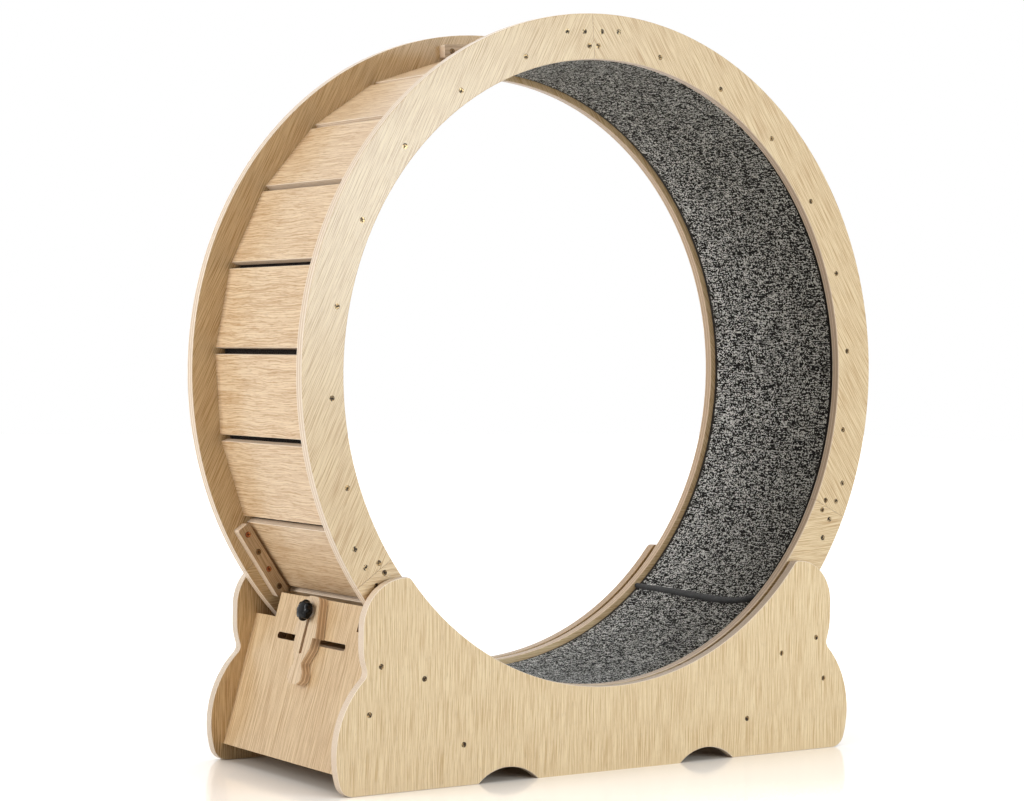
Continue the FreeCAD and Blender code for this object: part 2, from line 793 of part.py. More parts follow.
def end_panel(hand):
    """A leaning end, whose tongue rises between the rings, with a long vent."""
    body = new_body(f"{hand}_end_body")
    outline = polygon(body, "YZ_Plane", body.Name + "_outline", [
        ("-half_inside", "-end_drop"),
        ("half_inside", "-end_drop"),
        ("half_inside", "shoulder_rise"),
        ("tongue_width / 2", "shoulder_rise"),
        ("tongue_width / 2", "tongue_rise"),
        ("-tongue_width / 2", "tongue_rise"),
        ("-tongue_width / 2", "shoulder_rise"),
        ("-half_inside", "shoulder_rise")])
    pad(body, outline, body.Name + "_pad", "panel_thickness", midplane=True)
    vent = polygon(body, "YZ_Plane", body.Name + "_vent", [
        ("-vent_width / 2", "vent_rise - vent_height / 2"),
        ("vent_width / 2", "vent_rise - vent_height / 2"),
        ("vent_width / 2", "vent_rise + vent_height / 2"),
        ("-vent_width / 2", "vent_rise + vent_height / 2")])
    pocket_through(body, vent, body.Name + "_vent_cut")
    round_edges(body, body.Name + "_vent_ends", "(vent_height - slot_end_flat) / 2",
                rectangle_corners(size("vent_width"), size("vent_height"), size("vent_rise")))
    turn(body, BACK, signed(hand, "-end_lean"))
    place(body, signed(hand, "end_across"), "0", "end_height")
    tools = cross_piece_tools("end", hand)
    if hand == "left":
        barrel = size("tee_nut_barrel_diameter") / 2 + size("stud_fit")
        depth = size("panel_thickness") + 2 * TOOL_STANDOUT
        tools.append(Part.makeCylinder(barrel, depth, lock_point(-depth / 2), lock_axis()))
    cut_holes(f"{hand}_end_panel", body, tools)


def inner_board(hand):
    """A leaning board between the side panels, behind the rollers."""
    body = new_body(f"{hand}_board_body")
    outline = polygon(body, "YZ_Plane", body.Name + "_outline", [
        ("-half_inside", "-board_screw_spacing - board_bottom"),
        ("half_inside", "-board_screw_spacing - board_bottom"),
        ("half_inside", "board_top"),
        ("-half_inside", "board_top")])
    pad(body, outline, body.Name + "_pad", "panel_thickness", midplane=True)
    turn(body, BACK, signed(hand, "board_lean"))
    place(body, signed(hand, "board_across"), "0", "board_height")
    cut_holes(f"{hand}_inner_board", body, cross_piece_tools("board", hand))


def panel_fasteners():
    pieces = []
    for side in SIDES:
        piece = screw(inward(side), size("panel_screw_length"))
        pieces += [moved(piece, point) for point in panel_screw_places(side)]
    keep_set("panel_screws", pieces)


# ---------------------------------------------------------------- the rollers

SIDE_SIGN = {"front": "-", "rear": ""}


def roller_centre(hand):
    return Vector(HANDS[hand] * size("roller_across"), 0, size("roller_height"))


def roller(side, hand):
    """A grooved wheel moulded on a ball bearing; the ring's rim runs in its groove."""
    body = new_body(f"{side}_{hand}_roller_body")
    groove = "(ring_thickness / 2 + roller_side_gap)"
    edge = f"({groove} + roller_flange_thickness)"
    bore = "race_radius + roller_hub_gap"
    profile = polygon(body, "XY_Plane", body.Name + "_profile", [
        ("roller_recess_radius", f"-{edge}"),
        ("roller_flange_radius", f"-{edge}"),
        ("roller_flange_radius", f"-{groove}"),
        ("roller_groove_radius", f"-{groove}"),
        ("roller_groove_radius", groove),
        ("roller_flange_radius", groove),
        ("roller_flange_radius", edge),
        ("roller_recess_radius", edge),
        ("roller_recess_radius", "bearing_width / 2"),
        (bore, "bearing_width / 2"),
        (bore, "-bearing_width / 2"),
        ("roller_recess_radius", "-bearing_width / 2")])
    revolve(body, profile, body.Name + "_turning", str(FULL_TURN))
    place(body, signed(hand, "roller_across"), SIDE_SIGN[side] + "ring_middle", "roller_height")
    keep(f"{side}_{hand}_roller", body)


def rod(name, diameter, length, hand, start):
    """A round bar along Y on a roller's axis, that starts at this depth."""
    bar = document.addObject("Part::Cylinder", name)
    bind(bar, "Radius", f"({diameter}) / 2")
    bind(bar, "Height", length)
    bar.Placement = Placement(Vector(), Rotation(RIGHT, -90))
    place(bar, signed(hand, "roller_across"), start, "roller_height")
    return bar


def sleeve(name, outer, inner, length, hand, start):
    cut = document.addObject("Part::Cut", name)
    cut.Base = rod(name + "_outside", outer, length, hand, start)
    cut.Tool = rod(name + "_bore", inner, length, hand, start)
    return cut


def together(label, pieces):
    feature = document.addObject("Part::Compound", label + "_set")
    feature.Links = pieces
    keep(label, feature)


def roller_shafts():
    """Two steel rods seated in the side panels, with what sits on them."""
    bore = "shaft_diameter + 2 * shaft_fit"
    half = "bearing_width / 2"
    shafts = []
    races = []
    short_spacers = []
    long_spacers = []
    for hand in HANDS:
        shafts.append(rod(f"{hand}_shaft", "shaft_diameter", "2 * (half_inside + shaft_seat)", hand,
                          "-half_inside - shaft_seat"))
        for side, sign in SIDE_SIGN.items():
            races.append(sleeve(f"{side}_{hand}_race", "2 * race_radius", bore, "bearing_width", hand,
                                f"{sign}ring_middle - {half}"))
            start = "-half_inside" if side == "front" else f"ring_middle + {half}"
            short_spacers.append(sleeve(f"{side}_{hand}_spacer", "spacer_diameter", bore,
                                        f"half_inside - ring_middle - {half}", hand, start))
        long_spacers.append(sleeve(f"{hand}_long_spacer", "spacer_diameter", bore,
                                   f"2 * (ring_middle - {half})", hand, f"{half} - ring_middle"))
    together("roller_shafts", shafts)
    together("bearing_inner_races", races)
    together("short_spacers", short_spacers)
    together("long_spacers", long_spacers)


# ---------------------------------------------------------------- the lock

def lock_axis():
    lean = math.radians(size("end_lean"))
    return Vector(-math.cos(lean), 0, math.sin(lean))


def lock_point(offset):
    """A point on the stud's axis, this far outward from the end panel's middle."""
    foot = along_end(size("stud_rise"), "left")
    return Vector(foot.x, size("lock_depth"), foot.z) + lock_axis() * offset


def place_on_end(feature, offset, rise):
    """Puts a feature this far out from the end panel's middle and up its slope."""
    place(feature, f"-end_across + ({rise}) * sin(end_lean) - ({offset}) * cos(end_lean)", "lock_depth",
          f"end_height + ({rise}) * cos(end_lean) + ({offset}) * sin(end_lean)")


def place_on_stud(feature, offset):
    turn(feature, BACK, "end_lean - 90")
    place_on_end(feature, offset, "stud_rise")


def lock_slider():
    """The waisted wooden plate that slides up its slot to stop the drum."""
    body = new_body("slider_body")
    half = [("slider_bottom_width", "slider_bottom"), ("slider_grip_width", "slider_grip_low"),
            ("slider_grip_width", "slider_grip_rise"), ("slider_neck_width", "slider_neck_rise"),
            ("slider_waist_width", "slider_waist_rise"), ("slider_step_width", "slider_shoulder_rise"),
            ("slider_shoulder_width", "slider_shoulder_rise"), ("slider_top_width", "slider_top")]
    corners = [(f"{width} / 2", rise) for width, rise in half]
    corners += [(f"-{width} / 2", rise) for width, rise in reversed(half)]
    outline = polygon(body, "YZ_Plane", "slider_outline", corners)
    pad(body, outline, "slider_pad", "slider_thickness")
    slot = polygon(body, "YZ_Plane", "slider_slot", [
        ("-slot_width / 2", "slot_bottom - slot_width / 2"),
        ("slot_width / 2", "slot_bottom - slot_width / 2"),
        ("slot_width / 2", "stud_rise + slot_width / 2"),
        ("-slot_width / 2", "stud_rise + slot_width / 2")])
    pocket_through(body, slot, "slider_slot_cut")
    round_edges(body, "slider_top_corners", "slider_top_round", slider_corners(half[-1:]))
    round_edges(body, "slider_soft_corners", "slider_round", slider_corners(half[:5]))
    slot_length = size("stud_rise") - size("slot_bottom") + size("slot_width")
    slot_middle = (size("stud_rise") + size("slot_bottom")) / 2
    round_edges(body, "slider_slot_ends", "(slot_width - slot_end_flat) / 2",
                rectangle_corners(size("slot_width"), slot_length, slot_middle))
    turn(body, BACK, "end_lean")
    place_on_end(body, "slider_outside", "0")
    keep("lock_slider", body)


def slider_corners(half):
    """A test for the edges at these corners of the slider, on both its sides."""
    corners = []
    for width, rise in half:
        for side in (-1, 1):
            corners.append(passes(RIGHT, Vector(0, side * size(width) / 2, size(rise))))
    return any_of(corners)


def disc(name, diameter, height, start="0"):
    piece = document.addObject("Part::Cylinder", name)
    bind(piece, "Radius", f"({diameter}) / 2")
    bind(piece, "Height", height)
    bind(piece, "Placement.Base.z", start)
    return piece


def lock_washer():
    washer = document.addObject("Part::Cut", "washer")
    washer.Base = disc("washer_outside", "washer_diameter", "washer_thickness")
    washer.Tool = disc("washer_bore", "stud_diameter + 2 * stud_fit", "washer_thickness")
    place_on_stud(washer, "washer_inside")
    keep("lock_washer", washer)


def lock_knob():
    """A star knob: eight lobes under a low dome, on a short round hub."""
    head = [disc("knob_core", "knob_core_diameter", "knob_head_height", "knob_hub_height")]
    reach = "(knob_diameter / 2 - knob_lobe_radius)"
    for index in range(KNOB_LOBES):
        lobe = disc(f"knob_lobe_{index + 1}", "2 * knob_lobe_radius", "knob_head_height", "knob_hub_height")
        angle = f"{FULL_TURN / KNOB_LOBES * index}"
        bind(lobe, "Placement.Base.x", f"{reach} * cos({angle})")
        bind(lobe, "Placement.Base.y", f"{reach} * sin({angle})")
        head.append(lobe)
    star = document.addObject("Part::MultiFuse", "knob_star")
    star.Shapes = head
    dome = document.addObject("Part::Sphere", "knob_dome")
    bind(dome, "Radius", "knob_dome_radius")
    bind(dome, "Placement.Base.z", "knob_hub_height + knob_head_height - knob_dome_radius")
    domed = document.addObject("Part::Common", "knob_domed_star")
    domed.Base = star
    domed.Tool = dome
    whole = document.addObject("Part::Fuse", "knob_whole")
    whole.Base = domed
    whole.Tool = disc("knob_hub", "knob_hub_diameter", "knob_hub_height + knob_head_height / 2")
    knob = document.addObject("Part::Cut", "knob")
    knob.Base = whole
    knob.Tool = disc("knob_stud_hole", "stud_diameter + 2 * stud_fit", "stud_seat")
    place_on_stud(knob, "knob_base")
    keep("lock_knob", knob)


def lock_stud():
    inner_end = "(panel_thickness / 2 + stud_end)"
    stud = disc("stud", "stud_diameter", f"{inner_end} + knob_base + stud_seat")
    place_on_stud(stud, f"-{inner_end}")
    keep("lock_stud", stud)


def lock_tee_nut():
    """The nut let into the back of the end panel, in which the stud turns."""
    length = "tee_nut_flange_thickness + tee_nut_barrel_length"
    outside = document.addObject("Part::Fuse", "tee_nut_outside")
    outside.Base = disc("tee_nut_flange", "tee_nut_flange_diameter", "tee_nut_flange_thickness")
    outside.Tool = disc("tee_nut_barrel", "tee_nut_barrel_diameter", length)
    nut = document.addObject("Part::Cut", "tee_nut")
    nut.Base = outside
    nut.Tool = disc("tee_nut_bore", "stud_diameter + 2 * stud_fit", length)
    place_on_stud(nut, "-panel_thickness / 2 - tee_nut_flange_thickness")
    keep("lock_tee_nut", nut)


for side in SIDES:
    side_panel(side)
for hand in HANDS:
    end_panel(hand)
    inner_board(hand)
panel_fasteners()
for side in SIDES:
    for hand in HANDS:
        roller(side, hand)
roller_shafts()
lock_slider()
lock_washer()
lock_knob()
lock_stud()
lock_tee_nut()

document.recompute()
broken = [feature.Label for feature in document.Objects
          if "Invalid" in feature.State or "Error" in feature.State]
broken += [feature.Label for feature in nodes if feature.Shape.isNull() or not feature.Shape.isValid()]
if broken:
    raise SystemExit("failed: " + ", ".join(broken))
os.makedirs("parts", exist_ok=True)
for feature in nodes:
    feature.Shape.exportStep(f"parts/{feature.Label}.step")
    print(feature.Label, len(feature.Shape.Solids), "solids", round(feature.Shape.Volume), "mm3")
print(len(nodes), "nodes")
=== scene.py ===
import math

import bmesh
import bpy
from mathutils import Matrix, Vector, noise


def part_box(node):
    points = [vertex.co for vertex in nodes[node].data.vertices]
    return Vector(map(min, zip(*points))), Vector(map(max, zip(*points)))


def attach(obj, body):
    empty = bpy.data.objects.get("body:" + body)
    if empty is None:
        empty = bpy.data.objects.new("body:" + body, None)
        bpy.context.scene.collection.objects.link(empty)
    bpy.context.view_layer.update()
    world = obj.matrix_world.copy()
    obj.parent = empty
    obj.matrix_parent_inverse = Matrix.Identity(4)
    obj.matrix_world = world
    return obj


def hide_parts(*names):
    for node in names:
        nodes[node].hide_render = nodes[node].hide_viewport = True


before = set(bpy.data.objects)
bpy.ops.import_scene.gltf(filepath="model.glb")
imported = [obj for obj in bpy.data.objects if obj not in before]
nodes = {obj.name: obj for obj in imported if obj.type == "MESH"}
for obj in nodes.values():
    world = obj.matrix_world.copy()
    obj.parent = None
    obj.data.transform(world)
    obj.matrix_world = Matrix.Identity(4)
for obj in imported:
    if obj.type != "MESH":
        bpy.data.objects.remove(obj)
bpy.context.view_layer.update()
bpy.ops.object.select_all(action="DESELECT")

# ------------------------------------------------------------------ the rings
# Two flat rings of 15 mm plywood, each sawn in three segments that meet end to
# end.  Clear-lacquered oak veneer runs straight along each segment's chord, and
# the rounded rims show the bare layers of the sheet, with painted shade on the
# rims that face the axle.


def add_node(tree, kind, sockets=None, **settings):
    """A shader node, with its settings and with values or links on its sockets."""
    node = tree.nodes.new(kind)
    for name, setting in settings.items():
        setattr(node, name, setting)
    for name, wanted in (sockets or {}).items():
        if isinstance(wanted, bpy.types.NodeSocket):
            tree.links.new(wanted, node.inputs[name])
        else:
            node.inputs[name].default_value = wanted
    return node


def math_node(tree, operation, *terms, clamp=False):
    """The answer to a sum whose terms are numbers or links."""
    sockets = dict(enumerate(terms))
    return add_node(tree, "ShaderNodeMath", sockets, operation=operation, use_clamp=clamp).outputs[0]


def vector_node(tree, operation, *terms):
    """The answer to a sum of vectors, which is a number for a length or a dot product."""
    node = add_node(tree, "ShaderNodeVectorMath", dict(enumerate(terms)), operation=operation)
    return node.outputs["Value" if operation in ("LENGTH", "DOT_PRODUCT") else "Vector"]


def noise_node(tree, place, scale, detail, roughness=0.5):
    """Noise from 0 to 1.  Scale counts its waves to a metre each way."""
    sockets = {"Vector": vector_node(tree, "MULTIPLY", place, scale), "Scale": 1.0, "Detail": detail,
               "Roughness": roughness}
    return add_node(tree, "ShaderNodeTexNoise", sockets, noise_dimensions="3D").outputs[0]


def about_zero(tree, value):
    """A pattern from 0 to 1, moved down to lie as far below zero as above it."""
    return math_node(tree, "SUBTRACT", value, 0.5)


def add_patterns(tree, value, patterns):
    """A value raised and lowered by patterns, each with its share."""
    for pattern, share in patterns:
        value = math_node(tree, "MULTIPLY_ADD", about_zero(tree, pattern), share, value)
    return value


def ramp(tree, value, low, high, bottom=0.0, top=1.0):
    """A soft step from one value to another as the input passes between two more."""
    sockets = {"Value": value, "From Min": low, "From Max": high, "To Min": bottom, "To Max": top}
    return add_node(tree, "ShaderNodeMapRange", sockets, interpolation_type="SMOOTHSTEP").outputs[0]


def mix_colours(tree, share, first, second, blend="MIX"):
    """Two colours mixed, on the sockets that a mix node keeps for colours."""
    sockets = {"Factor": share, 6: first, 7: second}
    return add_node(tree, "ShaderNodeMix", sockets, data_type="RGBA", blend_type=blend).outputs[2]


def object_place(tree):
    """Where a point lies on the object, in metres."""
    return add_node(tree, "ShaderNodeTexCoord").outputs["Object"]


def new_group(name, inputs, outputs):
    """An empty shader group with named sockets, and its two end nodes."""
    group = bpy.data.node_groups.new(name, "ShaderNodeTree")
    for direction, sockets in (("INPUT", inputs), ("OUTPUT", outputs)):
        for label, kind in sockets.items():
            group.interface.new_socket(label, in_out=direction, socket_type="NodeSocket" + kind)
    return group, group.nodes.new("NodeGroupInput"), group.nodes.new("NodeGroupOutput")


def new_material(name):
    """A new material, its node tree and its one surface shader."""
    material = bpy.data.materials.new(name)
    material.use_nodes = True
    return material, material.node_tree, material.node_tree.nodes["Principled BSDF"]


def add_bump(tree, height, strength, distance):
    """Fine relief on a material's surface, too small to be modelled."""
    sockets = {"Strength": strength, "Distance": distance, "Height": height}
    bump = add_node(tree, "ShaderNodeBump", sockets)
    tree.links.new(bump.outputs["Normal"], tree.nodes["Principled BSDF"].inputs["Normal"])


def colour(red, green, blue):
    """A colour given as it looks on a screen, 0 to 255, as the shader wants it."""
    channels = []
    for level in (red, green, blue):
        level /= 255
        channels.append(level / 12.92 if level < 0.04045 else ((level + 0.055) / 1.055) ** 2.4)
    return (*channels, 1.0)


# Sliced oak: straight fibre lines a millimetre or two apart, faint wide bands,
# short dark pores, and on figured boards small wavy dashes.  Place holds the
# distance along the grain, across it and through the sheet, in metres.
PORE_COLOUR = colour(128, 98, 66)
MEAN_DEPTH = 0.4
FIGURE_WAVE = 0.012
GRAIN_DRIFT = 0.02
oak_veneer, given, made = new_group(
    "oak_veneer",
    {"Place": "Vector", "Pale": "Color", "Deep": "Color", "Figure": "Float", "Streak": "Float"},
    {"Color": "Color", "Relief": "Float"})
tree = oak_veneer
place, figure, streak = [given.outputs[name] for name in ("Place", "Figure", "Streak")]
waver = about_zero(tree, noise_node(tree, place, (17.0, 17.0, 30.0), 1.0))
drift = about_zero(tree, noise_node(tree, place, (1.5, 5.0, 20.0), 2.0))
wavy = math_node(tree, "MULTIPLY", waver, math_node(tree, "MULTIPLY", figure, FIGURE_WAVE))
split = add_node(tree, "ShaderNodeSeparateXYZ", {0: place})
wavy = math_node(tree, "MULTIPLY_ADD", drift, GRAIN_DRIFT, wavy)
bent = math_node(tree, "ADD", wavy, split.outputs["Y"])
fibre = add_node(tree, "ShaderNodeCombineXYZ", {
    0: split.outputs["X"], 1: bent, 2: split.outputs["Z"]}).outputs[0]
lines = noise_node(tree, fibre, (15.0, 900.0, 30.0), 1.0)
fine = noise_node(tree, fibre, (20.0, 1250.0, 30.0), 1.0)
threads = ramp(tree, noise_node(tree, fibre, (13.0, 680.0, 30.0), 1.0), 0.5, 0.68)
bands = noise_node(tree, fibre, (0.8, 32.0, 20.0), 2.0)
dashes = ramp(tree, noise_node(tree, fibre, (62.0, 580.0, 30.0), 1.0), 0.5, 0.66)
pores = ramp(tree, noise_node(tree, fibre, (70.0, 900.0, 30.0), 1.0), 0.58, 0.72)
depth = add_patterns(tree, MEAN_DEPTH, [
    (fine, 0.9), (bands, 0.35), (lines, math_node(tree, "MULTIPLY", streak, 4.1)),
    (threads, math_node(tree, "MULTIPLY", streak, 0.28))])
depth = math_node(tree, "MULTIPLY_ADD", dashes, math_node(tree, "MULTIPLY", figure, 0.55), depth,
                  clamp=True)
wood = mix_colours(tree, depth, given.outputs["Pale"], given.outputs["Deep"])
wood = mix_colours(tree, math_node(tree, "MULTIPLY", pores, 0.2), wood, PORE_COLOUR)
tree.links.new(wood, made.inputs["Color"])
tree.links.new(math_node(tree, "MULTIPLY_ADD", pores, -0.7, lines), made.inputs["Relief"])

# The sheet's bare edge: thin layers, every other one end grain, with dark glue
# between them.  Where painted shade is asked for, the wood is painted browner and
# the glue darker.
GLUE_COLOUR = colour(104, 72, 48)
INWARD_SHADE_TINT = colour(232, 210, 182)
LAYER_WANDER = 0.0004
ply_edge, given, made = new_group(
    "ply_edge",
    {"Place": "Vector", "Ply": "Float", "Pale": "Color", "Deep": "Color", "Painted Shade": "Float"},
    {"Color": "Color"})
tree = ply_edge
place, painted_inward_shade = [given.outputs[name] for name in ("Place", "Painted Shade")]
through = add_node(tree, "ShaderNodeSeparateXYZ", {0: place}).outputs["Z"]
wander = about_zero(tree, noise_node(tree, place, (30.0, 30.0, 30.0), 2.0))
layer = math_node(tree, "DIVIDE", math_node(tree, "MULTIPLY_ADD", wander, LAYER_WANDER, through),
                  given.outputs["Ply"])
within = math_node(tree, "FRACT", layer)
from_glue = math_node(tree, "MINIMUM", within, math_node(tree, "SUBTRACT", 1.0, within))
glue = ramp(tree, from_glue, 0.03, 0.16, 1.0, 0.0)
other = math_node(tree, "PINGPONG", math_node(tree, "FLOOR", layer), 1.0)
fibres = noise_node(tree, place, (260.0, 260.0, 1500.0), 2.0)
share = math_node(tree, "MULTIPLY_ADD", other, 0.7, math_node(tree, "MULTIPLY", fibres, 0.3))
layers = mix_colours(tree, share, given.outputs["Pale"], given.outputs["Deep"])
# Painted shade: edges facing the axle are multiplied browner and darker.
layers = mix_colours(tree, painted_inward_shade, layers, INWARD_SHADE_TINT, "MULTIPLY")
glue = math_node(tree, "MULTIPLY", glue, math_node(tree, "MULTIPLY_ADD", painted_inward_shade, 0.45, 0.4))
tree.links.new(mix_colours(tree, glue, layers, GLUE_COLOUR), made.inputs["Color"])

AXLE_HEIGHT = 0.61
BARE_EDGE = (colour(251, 236, 216), colour(221, 194, 165))
LACQUER = 0.5
LACQUER_ROUGHNESS = 0.24
PORE_ROUGHNESS = 0.52
WOOD_ROUGHNESS = 0.38
GRAIN_RELIEF = 0.0004
# How far a face has to point through the sheet to be veneer, and towards the
# axle, which counts below zero, to take painted shade: where each starts and is
# whole.
VENEER_FACING = (0.8, 0.97)
INWARD_SHADE_FACING = (-0.2, -0.6)


def from_axle(tree, place):
    """The way to a place from the middle of the drum's axle."""
    return vector_node(tree, "ADD", place, (0.0, 0.0, -AXLE_HEIGHT))


def plywood(name, grain, through, face, ply, pale, deep, figure=0.5, streak=0.8, cut=(0.0, 0.0),
            bare=BARE_EDGE, painted_inward_shade=0.0):
    """Oak-faced plywood whose grain runs one way and whose layers lie another.

    Face is the first face's distance from the origin through the sheet, ply is a
    layer's thickness, and cut is where on the veneer the piece was taken from.  The
    edges that face the drum's axle are painted browner, as painted shade, by
    painted_inward_shade.
    """
    material, tree, surface = new_material(name)
    grain = Vector(grain).normalized()
    through = Vector(through).normalized()
    turned = Matrix((grain, through.cross(grain), through)).to_euler("XYZ")
    coordinates = add_node(tree, "ShaderNodeTexCoord")
    normal = coordinates.outputs["Normal"]
    place = add_node(tree, "ShaderNodeMapping", {
        "Vector": coordinates.outputs["Object"], "Location": (*cut, -face),
        "Rotation": turned[:]}).outputs[0]
    veneer = add_node(tree, "ShaderNodeGroup", {
        "Place": place, "Pale": pale, "Deep": deep, "Figure": figure, "Streak": streak},
        node_tree=oak_veneer)
    edge = add_node(tree, "ShaderNodeGroup", {
        "Place": place, "Ply": ply, "Pale": bare[0], "Deep": bare[1]}, node_tree=ply_edge)
    # Edges facing the axle, inside the drum, take painted shade.
    if painted_inward_shade:
        outward = vector_node(tree, "NORMALIZE", from_axle(tree, coordinates.outputs["Object"]))
        facing = vector_node(tree, "DOT_PRODUCT", normal, outward)
        start, whole = INWARD_SHADE_FACING
        tree.links.new(ramp(tree, facing, whole, start, painted_inward_shade, 0.0), edge.inputs["Painted Shade"])
    facing = vector_node(tree, "DOT_PRODUCT", normal, through)
    broad = ramp(tree, math_node(tree, "ABSOLUTE", facing), *VENEER_FACING)
    tree.links.new(mix_colours(tree, broad, edge.outputs["Color"], veneer.outputs["Color"]),
                   surface.inputs["Base Color"])
    tree.links.new(ramp(tree, veneer.outputs["Relief"], 0.0, 1.0, PORE_ROUGHNESS, WOOD_ROUGHNESS),
                   surface.inputs["Roughness"])
    surface.inputs["Coat Weight"].default_value = LACQUER
    surface.inputs["Coat Roughness"].default_value = LACQUER_ROUGHNESS
    add_bump(tree, veneer.outputs["Relief"], 0.35, GRAIN_RELIEF)
    return material


def paint(members, material):
    """Gives pieces one material all over."""
    for member in members:
        member.data.materials.clear()
        member.data.materials.append(material)


SHEET = 0.015
RING_PLY = SHEET / 5
RING_JOINT_ANGLE = 95
RING_SEGMENT_ANGLE = 120
RING_PALE = colour(227, 202, 160)
RING_DEEP = colour(186, 150, 102)
for index in (1, 2, 3):
    chord = math.radians(RING_JOINT_ANGLE + RING_SEGMENT_ANGLE * (index - 0.5) + 90)
    for side in ("front", "rear"):
        segment = f"{side}_ring_segment_{index}"
        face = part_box(segment)[0].y
        # The rims that face the axle take painted shade.
        paint([nodes[segment]],
              plywood(f"{side}_ring_oak_{index}", (math.cos(chord), 0, math.sin(chord)), (0, 1, 0), face,
                      RING_PLY, RING_PALE, RING_DEEP, figure=0.2, streak=1.1, cut=(3.7 * index, 8 * face),
                      painted_inward_shade=0.7))

# ---------------------------------------------------------- the splice plates
# Short plywood strips on the rings' inner faces, one across each joint, with
# rounded corners.  Their veneer runs lengthways.
FINE_PLY = SHEET / 11
SPLICE_PALE = colour(214, 188, 152)
SPLICE_DEEP = colour(172, 140, 104)
for index in (1, 2, 3):
    joint = math.radians(RING_JOINT_ANGLE + RING_SEGMENT_ANGLE * (index - 1))
    for side in ("front", "rear"):
        plate = f"{side}_splice_plate_{index}"
        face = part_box(plate)[0].y
        paint([nodes[plate]],
              plywood(f"{side}_splice_oak_{index}", (-math.sin(joint), 0, math.cos(joint)), (0, 1, 0), face,
                      FINE_PLY, SPLICE_PALE, SPLICE_DEEP, cut=(0.9 * index, 5 * face)))

# ------------------------------------------------------------------ the slats
# Twenty-four boards of 12 mm plywood between the rings, a few millimetres
# apart, screwed through the rings into their ends.  The grain runs across the
# drum, and each board comes from another part of the sheet.
SLATS = 24
SLAT_ANGLE = 360 / SLATS
SLAT_PLY = 0.012 / 9
SLAT_INSIDE = 0.4945
SLAT_PALE = colour(239, 214, 179)
SLAT_DEEP = colour(198, 160, 116)
CUT_ALONG = 0.61
CUT_ACROSS = 0.37
for index in range(SLATS):
    angle = math.radians(RING_JOINT_ANGLE + SLAT_ANGLE * index)
    outward = Vector((math.cos(angle), 0, math.sin(angle)))
    face = SLAT_INSIDE + AXLE_HEIGHT * outward.z
    paint([nodes[f"slat_{index + 1:02d}"]],
          plywood(f"slat_oak_{index + 1}", (0, 1, 0), outward, face, SLAT_PLY, SLAT_PALE, SLAT_DEEP,
                  figure=0.7, streak=0.7,
                  cut=(CUT_ALONG * (index * 7 % 11), CUT_ACROSS * (index * 5 % 13))))

# ----------------------------------------------------------- the carpet runner
# A strip of grey heather loop-pile carpet laid round the inside of the slats.
# Its two ends meet low on the right, under a band of charcoal binding, and
# dark brown tape runs along both long edges, with painted shade where the carpet
# meets the rings, widest at the front.  The runner's back is painted the same
# dark colour, painted shade in the gaps between the slats.
RUNNER_BACK = 0.4942
RUNNER_PILE = 0.4887
RUNNER_HALF_WIDTH = 0.1547
SEAM_ANGLE = math.radians(310.2)
SEAM_GAP = 0.001
RUNNER_LENGTH = (2 * math.pi - SEAM_GAP / RUNNER_PILE) * RUNNER_PILE
ALONG_FACES = 760
ACROSS_FACES = 50
LOFT = 0.00035
LOFT_WAVES = 160
PILE_DIP = 0.0004
ROLLED_EDGE = 0.006
EDGE_ROLL = 0.0012


def in_drum(angle, across, radius):
    """A point from its angle about the drum's axle, its place along it and its distance."""
    return Vector((radius * math.cos(angle), across, AXLE_HEIGHT + radius * math.sin(angle)))


bpy.ops.mesh.primitive_grid_add(x_subdivisions=ALONG_FACES, y_subdivisions=ACROSS_FACES, size=1.0)
runner = bpy.context.object
runner.name = "carpet_runner_pile"
layout = runner.data.uv_layers.active.data
flat = [vertex.co.copy() for vertex in runner.data.vertices]
for loop in runner.data.loops:
    point = flat[loop.vertex_index]
    layout[loop.index].uv = ((point.x + 0.5) * RUNNER_LENGTH, point.y * 2 * RUNNER_HALF_WIDTH)
for vertex, point in zip(runner.data.vertices, flat):
    along = (point.x + 0.5) * RUNNER_LENGTH
    across = point.y * 2 * RUNNER_HALF_WIDTH
    angle = SEAM_ANGLE + (SEAM_GAP / 2 + along) / RUNNER_PILE
    loft = LOFT * noise.noise(Vector((along * LOFT_WAVES, across * LOFT_WAVES, 0)))
    edge = max(0.0, abs(across) - (RUNNER_HALF_WIDTH - ROLLED_EDGE)) / ROLLED_EDGE
    vertex.co = in_drum(angle, across, RUNNER_PILE + PILE_DIP + loft + EDGE_ROLL * edge ** 2)
bpy.ops.object.modifier_add(type="SOLIDIFY")
solid = runner.modifiers["Solidify"]
solid.thickness = RUNNER_BACK - RUNNER_PILE - EDGE_ROLL
solid.offset = -1.0
bpy.ops.object.modifier_apply(modifier="Solidify")
bpy.ops.object.shade_smooth()
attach(runner, "drum")
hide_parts("carpet_runner")

# The carpet's loops are cells in swaying rows, each of one yarn between black
# and white, with painted shade, nearly black, in the gaps between them.  Laid
# holds the distance along the runner and across it, in metres.
LOOP_SWAY = 0.004
LOOPS_A_METRE = (620.0, 380.0, 1.0)
GAP_SHADE_COLOUR = colour(5, 5, 5)
LOOP_HEIGHT = 0.0015
